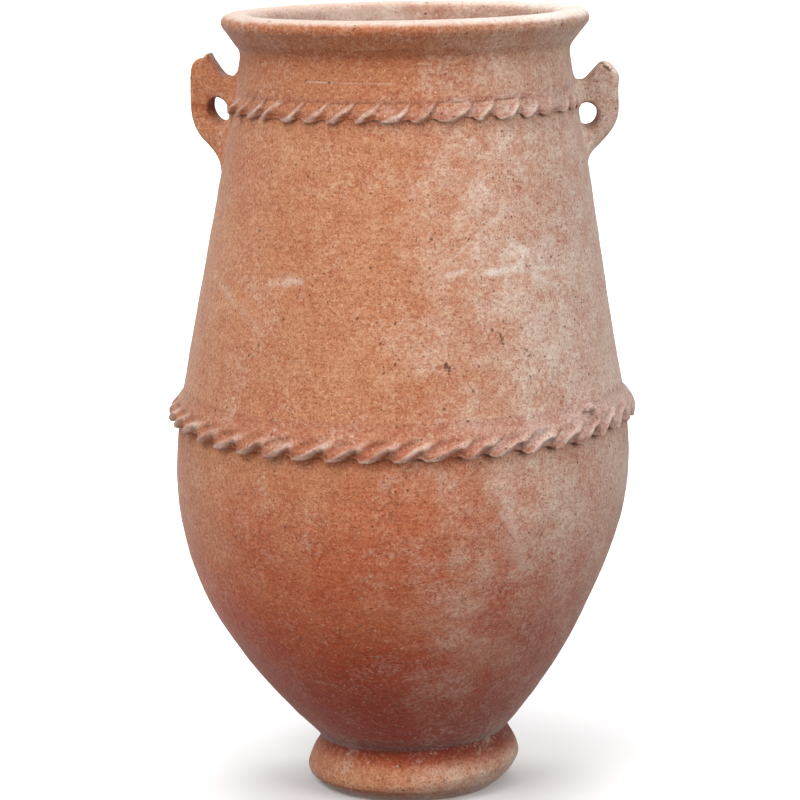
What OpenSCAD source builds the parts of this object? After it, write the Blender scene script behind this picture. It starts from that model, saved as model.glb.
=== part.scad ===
// Tall terracotta jar of the amphora family, in the pieces a potter makes it from: a ring foot,
// a floor slab, three thrown wall sections, a rolled rim, two horned handles and the pinched
// rope bands that cover the seams between the sections.
// Millimetres. +Z is up. The origin is at the centre of the foot, on the ground.

/* [Body] */
// Height of the whole jar
jar_h = 900; // [840:10:960]
// Largest outer radius of the belly
belly_r = 261; // [250:1:272]
// Height of the largest radius, as a share of the jar's height
belly_level = 0.42; // [0.4:0.01:0.44]
// Thickness of the thrown walls
wall_t = 18; // [14:1:20]

/* [Foot and floor] */
// Largest radius of the ring foot
foot_r = 124; // [118:1:132]
// Height of the ring foot, up to the floor slab
foot_h = 46; // [40:1:50]
// Outer radius of the crease between foot and belly
crease_r = 107; // [102:1:110]
// Radius of the hollow under the foot
hollow_r = 78; // [66:1:82]
// Thickness of the floor slab
floor_t = 20; // [18:1:24]

/* [Neck and rim] */
// Outer radius of the neck where it is narrowest
neck_r = 187; // [180:1:192]
// Outer radius of the rolled lip
lip_r = 208; // [204:1:216]
// Height of the rim piece
rim_h = 50; // [46:1:56]

/* [Rope bands] */
// Thumb marks all round the lower band, four equal quarters
lower_lobes = 44; // [36:4:48]
// How far the lower band's lip stands out from the wall
lower_out = 15; // [10:1:18]
// Thumb marks in each half of the upper band
upper_lobes = 18; // [14:1:22]
// How far the upper band's lip stands out from the wall
upper_out = 9; // [6:1:12]

/* [Handles] */
// Reach of the handles from the jar's axis
handle_r = 243; // [240:1:248]
// Depth of a handle along its eye
handle_t = 40; // [32:1:44]
// Radius of the eye through each handle
eye_r = 11.5; // [9:0.5:12]

/* [Hidden] */
$fn = 180;

// Heights of the seams and of the wall's turning points
crease_z = foot_h + 14;
floor_z = foot_h + floor_t;
belly_z = belly_level * jar_h;
lower_seam_z = 0.5 * jar_h;
upper_seam_z = 0.889 * jar_h;
neck_z = jar_h - rim_h;
seam_lap = 10;        // height of the bevel between two wall sections
wall_step = 12;       // spacing of the points up a wall

// Exponent of the belly's swell, and the softness of its turn into the shoulder
belly_power = 1.92;
shoulder_soft = 0.12;

// Foot outline
foot_base_r = foot_r - 24;    // where the rounded edge meets the ground
foot_wide_z = 26;             // height of the foot's widest ring
foot_top_power = 1.5;
foot_steps = 11;              // steps of the foot's outline up to the floor slab
edge_steps = 4;               // steps of the slab's edge
hollow_taper = 4;             // draft of the hollow, and the chamfer where it meets the ground

// Rim outline
neck_arc_r = 14;              // hollow under the lip
neck_arc_rise = 4;            // height of the hollow's centre above the neck
lip_roll_r = 10;              // roll of the lip
lip_slope = 36;               // underside of the lip, degrees from upright
mouth_inset = 4;              // set of the mouth's arc in from the neck's outer radius
mouth_turn = 130;             // where the mouth's arc ends, in degrees
mouth_drop = 14;              // fall of the lip's inner slope
throat_flare = 2;             // widening of the throat under that slope

// Rope bands: height of a band, its lip above the band's lowest edge, and the lean of a thumb
// mark, in marks, from the lip up to the top of the band
lower_band_h = 36;
lower_band_z = 0.479 * jar_h;
upper_band_h = 24;
upper_band_z = 0.878 * jar_h;
lobe_lean = 0.9;
lobe_steps = 8;               // columns of the mesh in one thumb mark
crest_share = 0.8;            // where in a mark its crest stands
dip_share = 0.2;              // depth of the notches along the lip, as a share of the band's height
dip_shift = 0.35;             // place of a notch in its mark
scoop_share = 0.4;            // share of the swell that a thumb mark takes away
lip_swell = 0.55;             // swell of the lip between two marks, and how much a mark adds
lip_gain = 0.25;
under_rise = 1.5;             // rise of the lip's underside back to the wall
end_taper = 2;                // length of a band's tapered end, in marks
end_swell = 0.2;              // a band's end beside a handle, as a share of its full swell

// Handles: the eye's centre from the axis and its height, left and right
eye_at_r = handle_r - 32;
left_eye_z = 0.878 * jar_h;
right_eye_z = 0.870 * jar_h;
handle_edge = 7;              // bevel along a handle's outer edges
tail_drop = 80;               // length of a handle's tail below its eye
outline_steps = 4;            // steps between two points of a handle's outline
lug_root_r = neck_r - 40;     // inner end of a handle's blank, inside the wall
joint_clear = 0.02;           // keeps a handle's root off the wall's facets

// ---- outline of the wall -------------------------------------------------------------------

// Outer radius between the crease and the belly's widest ring
function belly_wall(z) =
  belly_r - (belly_r - crease_r) * pow(max(0, 1 - (z - crease_z) / (belly_z - crease_z)), belly_power);

// Outer radius between the belly's widest ring and the neck
function shoulder_wall(z) =
  let (s = (z - belly_z) / (neck_z - belly_z), a = shoulder_soft)
  belly_r - (belly_r - neck_r) * (sqrt(s * s + a * a) - a) / (sqrt(1 + a * a) - a);

function wall_r(z) = z < belly_z ? belly_wall(z) : shoulder_wall(z);

// Inner radius: the wall's thickness is measured square to its surface
function inner_r(z) = wall_r(z) - wall_t * norm([1, wall_r(z + 0.5) - wall_r(z - 0.5)]);

// Outer radius of the foot and of the slab's edge, up to the crease
function foot_wall(z) =
  z < foot_wide_z
    ? foot_r - (foot_r - foot_base_r) * pow(1 - z / foot_wide_z, 2)
    : foot_r - (foot_r - crease_r) * pow((z - foot_wide_z) / (crease_z - foot_wide_z), foot_top_power);

// Heights from z0 to z1 in equal steps of about wall_step
function heights(z0, z1) =
  let (n = max(1, round((z1 - z0) / wall_step)))
  [for (i = [0:n]) z0 + (z1 - z0) * i / n];

function reversed(list) = [for (i = [len(list) - 1:-1:0]) list[i]];

// A wall section with bevelled ends: the inner edge of a seam is higher than its outer edge
module wall_section(out_z0, in_z0, out_z1, in_z1) {
  outer = [for (z = heights(out_z0, out_z1)) [wall_r(z), z]];
  inner = [for (z = reversed(heights(in_z0, in_z1))) [inner_r(z), z]];
  rotate_extrude() polygon(concat(outer, inner));
}

// ---- foot and floor ------------------------------------------------------------------------

module foot() {
  outer = [for (i = [0:foot_steps]) let (z = foot_h * i / foot_steps) [foot_wall(z), z]];
  hollow = [[hollow_r - hollow_taper, foot_h], [hollow_r, hollow_taper], [hollow_r + hollow_taper, 0]];
  color("#a5644a")
    rotate_extrude()
      polygon(concat(outer, hollow));
}

module floor_slab() {
  edge = [for (i = [0:edge_steps])
    let (z = foot_h + (crease_z - foot_h) * i / edge_steps) [foot_wall(z), z]];
  color("#a2593c")
    rotate_extrude()
      polygon(concat([[0, foot_h]], edge, [[wall_r(floor_z), floor_z], [0, floor_z]]));
}

// ---- walls ---------------------------------------------------------------------------------

module belly() {
  color("#b5674a")
    wall_section(floor_z, floor_z, lower_seam_z, lower_seam_z + seam_lap);
}

module shoulder() {
  color("#c88564")
    wall_section(lower_seam_z, lower_seam_z + seam_lap, upper_seam_z, upper_seam_z + seam_lap);
}

module neck() {
  color("#c27c5a")
    wall_section(upper_seam_z, upper_seam_z + seam_lap, neck_z, neck_z);
}

// Points on an arc about [cx, cz], from angle a0 to a1 in n steps
function arc(cx, cz, r, a0, a1, n) =
  [for (i = [0:n]) let (a = a0 + (a1 - a0) * i / n) [cx + r * cos(a), cz + r * sin(a)]];

// The neck turns out through a hollow arc into the lip's straight underside, which rolls over
// the lip and runs down the inner slope to the mouth
module rim() {
  hollow = arc(neck_r + neck_arc_r, neck_z + neck_arc_rise, neck_arc_r, 180, 180 - lip_slope, 4);
  roll = arc(lip_r - lip_roll_r, jar_h - lip_roll_r, lip_roll_r, -lip_slope, 90, 8);
  mouth = arc(neck_r - mouth_inset, jar_h - lip_roll_r, lip_roll_r, 90, mouth_turn, 3);
  throat_r = inner_r(neck_z);
  color("#cda58b")
    rotate_extrude()
      polygon(concat(
        [[neck_r, neck_z]], hollow, roll, mouth,
        [[throat_r + throat_flare, jar_h - lip_roll_r - mouth_drop], [throat_r, neck_z]]
      ));
}

// ---- rope bands ----------------------------------------------------------------------------

// A thumb mark rises to its crest and drops steeply to the next mark
function saw(phase) =
  let (p = phase - floor(phase))
  p < crest_share ? sin(90 * p / crest_share) : (1 - p) / (1 - crest_share);

// Section of a band at a place around it, counted in marks. v runs from 0 at the top edge to 1
// at the lip. Each entry is [radius, height], down the front, round the lip and up the wall.
function band_section(mark, low_z, high, out) =
  let (
    dip = high * dip_share * (1 - saw(mark + dip_shift)),
    lip_z = low_z + dip,
    top_z = low_z + high,
    front = [for (v = [0, 0.25, 0.5, 0.7, 0.88]) let (
      z = top_z + (lip_z - top_z) * v,
      swell = sin(90 * v) * (1 - scoop_share + scoop_share * saw(mark - lobe_lean * (1 - v)) * v)
    ) [wall_r(z) + out * swell, z]],
    lip = [wall_r(lip_z) + out * (lip_swell + lip_gain * saw(mark)), lip_z],
    under = [wall_r(lip_z + under_rise), lip_z + under_rise],
    mid_z = (top_z + lip_z) / 2,
    back = [wall_r(mid_z), mid_z]
  )
  concat(front, [lip, under, back]);

// Faces of a mesh of equal sections: side walls between sections i and i + 1
function band_sides(columns, m, closed) =
  [for (i = [0:columns - (closed ? 1 : 2)]) for (j = [0:m - 1])
    let (
      a = i * m, b = ((i + 1) % columns) * m, k = (j + 1) % m
    )
    each [[a + j, b + j, b + k], [a + j, b + k, a + k]]];

// The lower band goes all round
module lower_rope() {
  columns = lower_lobes * lobe_steps;
  sections = [for (i = [0:columns - 1])
    band_section(i / lobe_steps, lower_band_z, lower_band_h, lower_out)];
  m = len(sections[0]);
  chord = 1 / cos(180 / columns);
  points = [for (i = [0:columns - 1]) let (a = 360 * i / columns) for (p = sections[i])
    [p[0] * chord * cos(a), p[0] * chord * sin(a), p[1]]];
  color("#cf9678")
    polyhedron(points, band_sides(columns, m, true));
}

// Half of the upper band: it starts and ends flat against the sides of the two handles
module upper_rope(turn) {
  columns = upper_lobes * lobe_steps + 1;
  sections = [for (i = [0:columns - 1])
    let (
      mark = i / lobe_steps,
      from_end = min(mark, upper_lobes - mark)
    )
    band_section(mark, upper_band_z, upper_band_h,
      upper_out * min(1, end_swell + from_end / end_taper))];
  m = len(sections[0]);
  chord = 1 / cos(90 / (columns - 1));
  points = [for (i = [0:columns - 1]) for (p = sections[i])
    let (
      r = p[0] * chord,
      a0 = asin(handle_t / 2 / r),
      a = a0 + (180 - 2 * a0) * i / (columns - 1)
    )
    [r * cos(a), r * sin(a), p[1]]];
  first_end = [for (j = [0:m - 1]) j];
  last_end = [for (j = [m - 1:-1:0]) (columns - 1) * m + j];
  color("#cf9678")
    rotate([0, 0, turn])
      polyhedron(points, concat(band_sides(columns, m, false), [first_end, last_end]));
}

module upper_rope_front() upper_rope(180);

module upper_rope_back() upper_rope(0);

// ---- handles -------------------------------------------------------------------------------

// One point of a smooth curve through b and c, at t from b to c
function curve_point(a, b, c, d, t) =
  0.5 * (2 * b + t * (c - a) + t * t * (2 * a - 5 * b + 4 * c - d)
    + t * t * t * (3 * b - a - 3 * c + d));

function smooth(p, steps) =
  [for (i = [1:len(p) - 3]) for (k = [0:steps - 1])
    curve_point(p[i - 1], p[i], p[i + 1], p[i + 2], k / steps)];

// Outline of a handle in the plane of the axis: a horn above the eye, a saddle between the horn
// and the neck, and a tail that runs down into the shoulder
function handle_outline(eye_z, horn, brow, saddle_z) =
  smooth([
    [neck_r - 10, saddle_z + 10],
    [neck_r, saddle_z + 8],
    [neck_r + 12, saddle_z],
    [neck_r + 22, saddle_z + 5],
    horn,
    brow,
    [handle_r, brow[1] - 18],
    [handle_r, eye_z - 4],
    [handle_r - 9, eye_z - 26],
    [handle_r - 29, eye_z - 48],
    [handle_r - 35, eye_z - 74],
    [handle_r - 48, eye_z - tail_drop],
    [neck_r - 8, eye_z - tail_drop]
  ], outline_steps);

// A handle on the +X side: its root follows the wall, and its outer edges are bevelled
module handle(eye_z, horn, brow, saddle_z) {
  low_z = eye_z - tail_drop - 20;
  difference() {
    intersection() {
      rotate([90, 0, 0])
        linear_extrude(handle_t, center = true)
          polygon(handle_outline(eye_z, horn, brow, saddle_z));
      translate([0, 0, low_z])
        linear_extrude(jar_h - low_z)
          polygon([
            [lug_root_r, -handle_t / 2], [handle_r - handle_edge, -handle_t / 2],
            [handle_r, handle_edge - handle_t / 2], [handle_r, handle_t / 2 - handle_edge],
            [handle_r - handle_edge, handle_t / 2], [lug_root_r, handle_t / 2]
          ]);
    }
    rotate_extrude()
      polygon(concat(
        [[0, low_z]],
        [for (z = heights(low_z, neck_z)) [wall_r(z) + joint_clear, z]],
        [[0, neck_z]]
      ));
    translate([eye_at_r, 0, eye_z])
      rotate([90, 0, 0])
        cylinder(r = eye_r, h = handle_t + 2, center = true, $fn = 64);
  }
}

module handle_left() {
  color("#c47c59")
    mirror([1, 0, 0])
      handle(left_eye_z, [handle_r - 22, left_eye_z + 63], [handle_r - 6, left_eye_z + 57],
        left_eye_z + 39);
}

module handle_right() {
  color("#bf8467")
    handle(right_eye_z, [handle_r - 20, right_eye_z + 57], [handle_r - 7, right_eye_z + 55],
      right_eye_z + 39);
}

foot();
floor_slab();
belly();
shoulder();
neck();
rim();
lower_rope();
upper_rope_front();
upper_rope_back();
handle_left();
handle_right();
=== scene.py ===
"""A tall jar in red clay: thrown walls, thumb-marked bands over the seams and two pierced horns.

Lengths are in metres. The walls and bands follow the frame's boxes, so they move with it.
"""
import math

import bpy
import numpy as np
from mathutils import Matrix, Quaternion, Vector


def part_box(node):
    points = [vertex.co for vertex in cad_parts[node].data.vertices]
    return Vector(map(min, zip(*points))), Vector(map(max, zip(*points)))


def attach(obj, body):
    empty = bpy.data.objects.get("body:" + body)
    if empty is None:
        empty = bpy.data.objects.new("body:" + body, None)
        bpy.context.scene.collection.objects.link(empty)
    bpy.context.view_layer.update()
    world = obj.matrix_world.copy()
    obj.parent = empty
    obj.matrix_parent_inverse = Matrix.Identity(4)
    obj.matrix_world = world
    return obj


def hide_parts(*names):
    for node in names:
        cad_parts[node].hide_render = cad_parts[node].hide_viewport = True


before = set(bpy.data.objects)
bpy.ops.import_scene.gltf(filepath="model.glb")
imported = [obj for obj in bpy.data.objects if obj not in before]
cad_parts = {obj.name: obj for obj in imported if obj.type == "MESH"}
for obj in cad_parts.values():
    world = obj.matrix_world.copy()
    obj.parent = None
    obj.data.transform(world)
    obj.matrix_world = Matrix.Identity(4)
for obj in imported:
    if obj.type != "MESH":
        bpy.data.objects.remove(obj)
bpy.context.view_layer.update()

bl_info = {
    "name": "Thumb-Banded Clay Jar",
    "version": (1, 0, 0),
    "blender": (4, 5, 0),
    "location": "View3D > Sidebar > Clay Jar",
    "description": "Builds a tall thrown jar with thumb-marked bands and pierced handles",
    "category": "Add Mesh",
}

MM = 0.001

# The frame's own sizes: each piece of the jar keeps to the box of the node that it stands for
JAR_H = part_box("rim")[1].z
LIP_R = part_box("rim")[1].x
NECK_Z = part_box("rim")[0].z
UPPER_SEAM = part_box("neck")[0].z
LOWER_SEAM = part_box("shoulder")[0].z
SEAM_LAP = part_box("belly")[1].z - LOWER_SEAM
BELLY_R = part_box("belly")[1].x
BELLY_Z = 0.42 * JAR_H
FLOOR_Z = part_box("belly")[0].z
FOOT_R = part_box("foot")[1].x
FOOT_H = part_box("foot")[1].z
CREASE_R = FOOT_R - 17 * MM
CREASE_Z = FOOT_H + 14 * MM
WIDEST_FOOT = 26 * MM
HOLLOW_R = 78 * MM
NECK_R = LIP_R - 21 * MM
WALL_T = 18 * MM
UNDERCUT_R = 14 * MM         # hollow under the lip
ROLL_R = 10 * MM             # outer roll of the lip
MOUTH_R = 12 * MM            # inner slope of the lip

LUG_HALF = 18.5              # half a handle's thickness, in millimetres
LUG_R = 0.215                # distance from the axis at which a handle is turned
CRUMB_PLACE = (0.205, -0.155, 0.467)
CRUMB_SIZE = (8 * MM, 8 * MM, 5 * MM)

SECTORS = 600                # columns round the thrown walls
FRONT = -math.pi / 2         # the side that faces the viewer

STAGE_HALF = 6               # half the width of the studio
COVE_START = 3               # where the backdrop begins to curve up
COVE_R = 2.4
BACKDROP_TOP = 7
STAGE_GREY = (0.93, 0.93, 0.93)
LENS = 141.5
CAMERA_PLACE = (-0.0097, -3.58, 1.108)
CAMERA_DIP = math.radians(10.39)
CAMERA_ROLL = math.radians(-0.57)


# ---- numbers and noise ---------------------------------------------------------------------

def ease(low, high, x):
    """A smooth step from 0 at low to 1 at high."""
    t = np.clip((x - low) / (high - low), 0, 1)
    return t * t * (3 - 2 * t)


def hill(x, centre, width):
    """1 at the centre, falling away smoothly over the width."""
    return np.exp(-((x - centre) / width) ** 2)


GRAINS = np.random.default_rng(7).random((32, 32, 32))


def lumps(points, size, seed=0):
    """Seeded noise between -1 and 1, in lumps of about the given size."""
    place = points / size + 7.31 * seed
    cell = np.floor(place).astype(int)
    t = place - cell
    t = t * t * (3 - 2 * t)
    total = np.zeros(len(points))
    for corner in np.ndindex(2, 2, 2):
        weight = np.where(corner, t, 1 - t).prod(axis=1)
        i, j, k = ((cell + corner) % 32).T
        total += weight * GRAINS[i, j, k]
    return 2 * total - 1


# ---- outline of the jar --------------------------------------------------------------------

def belly_wall(z):
    """Outer radius from the crease up to the widest ring."""
    share = np.clip((BELLY_Z - z) / (BELLY_Z - CREASE_Z), 0, None)
    return BELLY_R - (BELLY_R - CREASE_R) * share ** 1.92


def shoulder_wall(z):
    """Outer radius from the widest ring up to the neck."""
    rise = np.clip((z - BELLY_Z) / (NECK_Z - BELLY_Z), 0, None)
    soft = 0.12
    return BELLY_R - (BELLY_R - NECK_R) * (np.hypot(rise, soft) - soft) / (math.hypot(1, soft) - soft)


def foot_wall(z):
    """Outer radius of the ring foot: a rounded base, then a hollow slope up to the crease."""
    base = 24 * MM * np.clip(1 - z / WIDEST_FOOT, 0, None) ** 2
    slope = (FOOT_R - CREASE_R) * np.clip((z - WIDEST_FOOT) / (CREASE_Z - WIDEST_FOOT), 0, None) ** 1.5
    return FOOT_R - base - slope


def wall(z):
    """Outer radius at any height, with the crease above the foot rounded out."""
    z = np.asarray(z, float)
    body = np.where(z < BELLY_Z, belly_wall(z), shoulder_wall(z))
    ring = foot_wall(z)
    soft = 5 * MM
    return np.maximum(body, ring) + np.clip(soft - abs(body - ring), 0, None) ** 2 / (4 * soft)


def inner_wall(z):
    """Inner radius: the wall's thickness is measured square to its surface."""
    lean = (wall(z + MM) - wall(z - MM)) / (2 * MM)
    return wall(z) - WALL_T * np.hypot(1, lean)


# Heights with the sideways set of the jar's axis in millimetres, and with its rings' tilt in degrees
LEAN = ((0, 0), (0.06, 4.5), (0.13, -4), (0.22, -11.5), (0.32, -9), (0.42, -6.5), (0.5, -6.5), (0.72, -1),
        (0.9, 0))
TILT = ((0, 0), (0.018, 2.8), (0.065, 2.8), (0.17, 1.4), (0.4, 0.4), (0.9, 0.45))


def between(table, z):
    """Reads a table of heights and values, smoothed over 3 cm either way."""
    heights, values = zip(*table)
    near = [np.interp(z + step, heights, values) for step in np.linspace(-0.03, 0.03, 7)]
    return np.mean(near, axis=0) * np.clip(z / 0.03, 0, 1)


def by_hand(points):
    """Moves points of a perfect jar to where a potter's hands left them."""
    x, y, z = points.T
    radius = np.hypot(x, y)
    # The lower band rides up at the two sides
    raised = 7 * MM * ease(0.19, 0.262, abs(x)) * hill(z, 0.45, 0.06)
    set_off = between(LEAN, z) * MM
    tilt = np.radians(np.interp(z, *zip(*TILT)))
    # Swellings from a hand's width down to a finger's, and the rings that the fingers left, in millimetres
    slow = points * (1, 1, 0.7)
    swell = 1.3 * lumps(slow, 0.16, 1) + 0.6 * lumps(slow, 0.055, 2) + 0.28 * lumps(points, 0.018, 3)
    rings = lumps(points * (0.12, 0.12, 1), 0.011, 4)
    # The wall is pressed in behind the right-hand eye
    thumbed = 4 * hill(y, 0, 0.014) * hill(z, 0.78, 0.015) * (x > 0) * (1 - ease(0.198, 0.213, radius))
    # The rings are deepest at the neck and the foot, where the clay was wettest
    wet = 0.2 + 0.45 * hill(z, 0.835, 0.03) + 0.35 * hill(z, 0.1, 0.05) + 0.25 * hill(z, 0.03, 0.03)
    out = (swell + wet * rings - thumbed) * MM * np.clip(radius / 0.1, 0, 1)
    grow = 1 + out / np.maximum(radius, 0.05)
    return np.column_stack((x * grow + set_off, y * grow, z + x * np.tan(tilt) + raised))


# ---- node boards ---------------------------------------------------------------------------

def maths(operation):
    """An operator that adds its Math node."""
    return lambda a, b: a.board.math(operation, a, b)


class Term:
    """A node's output that can stand in a sum."""

    __add__ = __radd__ = maths("ADD")
    __sub__ = maths("SUBTRACT")
    __mul__ = __rmul__ = maths("MULTIPLY")
    __truediv__ = maths("DIVIDE")
    __pow__ = maths("POWER")
    __mod__ = maths("FLOORED_MODULO")

    def __init__(self, board, socket):
        self.board = board
        self.socket = socket

    def also(self, name):
        """Another output of the same node."""
        return Term(self.board, pick(self.socket.node.outputs, name))

    def __rsub__(self, other):
        return self.board.math("SUBTRACT", other, self)


def pick(sockets, key):
    """A socket by its place, its identifier or its name."""
    if isinstance(key, int):
        return sockets[key]
    return next(s for s in sockets if key in (s.identifier, s.name))


class Board:
    """A node tree under construction. Every node comes from add()."""

    def __init__(self, tree):
        self.tree = tree

    def add(self, kind, settings=None, sockets=None, output=0):
        """Adds a node, makes its settings, then sets or links its sockets."""
        node = self.tree.nodes.new(kind)
        node.location = (190 * (len(self.tree.nodes) % 16), -240 * (len(self.tree.nodes) // 16))
        for name, value in (settings or {}).items():
            setattr(node, name, value)
        for key, value in (sockets or {}).items():
            socket = pick(node.inputs, key)
            if isinstance(value, Term):
                self.tree.links.new(value.socket, socket)
            else:
                socket.default_value = value
        return Term(self, pick(node.outputs, output)) if len(node.outputs) else node

    def math(self, operation, *values):
        return self.add("ShaderNodeMath", {"operation": operation}, dict(enumerate(values)))

    def least(self, a, b):
        return self.math("MINIMUM", a, b)

    def most(self, a, b):
        return self.math("MAXIMUM", a, b)

    def step(self, low, high, x):
        """A smooth step of a value, from 0 at low to 1 at high."""
        return self.add("ShaderNodeMapRange", {"interpolation_type": "SMOOTHSTEP"}, {0: x, 1: low, 2: high})

    def vector(self, operation, a, b, output=0):
        return self.add("ShaderNodeVectorMath", {"operation": operation}, {0: a, 1: b}, output)

    def noise(self, place, scale, detail=2.0, rough=0.5, distortion=0.0):
        """Cloudy noise, about 0.3 to 0.7."""
        sockets = {"Vector": place, "Scale": scale, "Detail": detail,
                   "Roughness": rough, "Distortion": distortion}
        return self.add("ShaderNodeTexNoise", None, sockets)

    def mix(self, share, a, b, blend="MIX"):
        """A colour between two colours."""
        settings = {"data_type": "RGBA", "blend_type": blend}
        sockets = {"Factor_Float": share, "A_Color": a, "B_Color": b}
        return self.add("ShaderNodeMix", settings, sockets, "Result_Color")


# ---- geometry trees ------------------------------------------------------------------------

def tree_inputs(name, kinds):
    """A geometry tree with named inputs, and a Term for each of them."""
    tree = bpy.data.node_groups.new(name, "GeometryNodeTree")
    tree.interface.new_socket("Geometry", in_out="OUTPUT", socket_type="NodeSocketGeometry")
    for label, kind in {"Section": "Geometry", **kinds}.items():
        tree.interface.new_socket(label, in_out="INPUT", socket_type="NodeSocket" + kind)
    board = Board(tree)
    first = board.add("NodeGroupInput")
    return board, [first.also(label) for label in ("Section", *kinds)]


def sample(board, kind, section, value, row):
    """Reads a value at one of the section's points."""
    settings = {"data_type": kind, "domain": "POINT"}
    sockets = {"Geometry": section, "Value": value, "Index": row}
    return board.add("GeometryNodeSampleIndex", settings, sockets)


def lay_grid(board, section, sectors):
    """A grid with a column for each sector and a row for each point of the section."""
    rows = board.add("GeometryNodeAttributeDomainSize", {"component": "MESH"}, {"Geometry": section})
    grid = board.add("GeometryNodeMeshGrid", None, {"Vertices X": sectors + 1, "Vertices Y": rows + 1})
    index = board.add("GeometryNodeInputIndex")
    column = board.math("FLOOR", (index + 0.5) / (rows + 1))
    row = (index - column * (rows + 1)) % rows
    place = board.add("GeometryNodeInputPosition")
    parts = board.add("ShaderNodeSeparateXYZ", None, {0: sample(board, "FLOAT_VECTOR", section, place, row)})
    return grid, column, row, parts, parts.also("Z")


def turn_out(board, grid, radius, angle, height):
    """Stands the grid's points round the axis, then closes its edges and smooths its shading."""
    east = radius * board.math("COSINE", angle)
    north = radius * board.math("SINE", angle)
    place = board.add("ShaderNodeCombineXYZ", None, {0: east, 1: north, 2: height})
    moved = board.add("GeometryNodeSetPosition", None, {"Geometry": grid, "Position": place})
    closed = board.add("GeometryNodeMergeByDistance", None, {"Geometry": moved, "Distance": 0.00001})
    return board.add("GeometryNodeSetShadeSmooth", None, {"Geometry": closed})


def end_tree(board, shape, clay):
    """Every tree ends in Realize Instances and Set Material."""
    real = board.add("GeometryNodeRealizeInstances", None, {"Geometry": shape})
    coated = board.add("GeometryNodeSetMaterial", None, {"Geometry": real, "Material": clay})
    board.add("NodeGroupOutput", None, {"Geometry": coated})
    return board.tree


def wheel_tree():
    """Turns a closed section round the jar's axis, as clay turns on a wheel."""
    board, (section, sectors, clay) = tree_inputs("Thrown Wall", {"Sectors": "Int", "Clay": "Material"})
    grid, column, _, radius, height = lay_grid(board, section, sectors)
    angle = column / sectors * (2 * math.pi)
    return end_tree(board, turn_out(board, grid, radius, angle, height), clay)


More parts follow.
